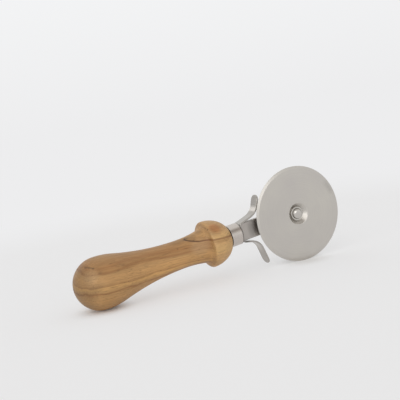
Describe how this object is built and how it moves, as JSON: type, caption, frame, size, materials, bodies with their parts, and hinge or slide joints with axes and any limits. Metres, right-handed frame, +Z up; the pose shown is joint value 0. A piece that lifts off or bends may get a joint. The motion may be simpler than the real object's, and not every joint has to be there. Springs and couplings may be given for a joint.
{
  "type": "pizza cutter",
  "caption": "Hand-held pizza cutter: a round steel wheel turns on a rivet at the end of one flat arm, with a bent finger guard, a ferrule and a turned wooden handle.",
  "frame": {"origin": "centre of the bounding box at its base, on the plane that the wheel's edge and the handle's butt both touch", "axes": "+X along the tool from the handle's butt to the wheel, +Z up in the wheel's plane, +Y from the wheel's face through to the arm's back, along the wheel's axle"},
  "size_m": [0.1938, 0.0336, 0.065],
  "materials": {
    "oiled_wood": "turned hardwood, rubbed with oil",
    "drawn_steel": "drawn and satin polished",
    "strip_steel": "cold rolled, satin",
    "blade_steel": "satin ground, with a brighter bevel",
    "turned_steel": "turned, lightly polished"
  },
  "bodies": {
    "grip_frame": {"handle": "oiled_wood", "ferrule": "drawn_steel", "finger_guard": "strip_steel", "arm": "strip_steel", "axle_rivet": "turned_steel", "head_washer": "turned_steel", "spacer": "turned_steel", "tail_washer": "turned_steel"},
    "wheel": {"blade": "blade_steel"}
  },
  "joints": [
    {"name": "wheel_spin", "type": "hinge", "parent": "grip_frame", "child": "wheel", "pos_m": [0.06438, -0.0051, 0.0325], "axis": [0, 1, 0], "continuous": true}
  ]
}
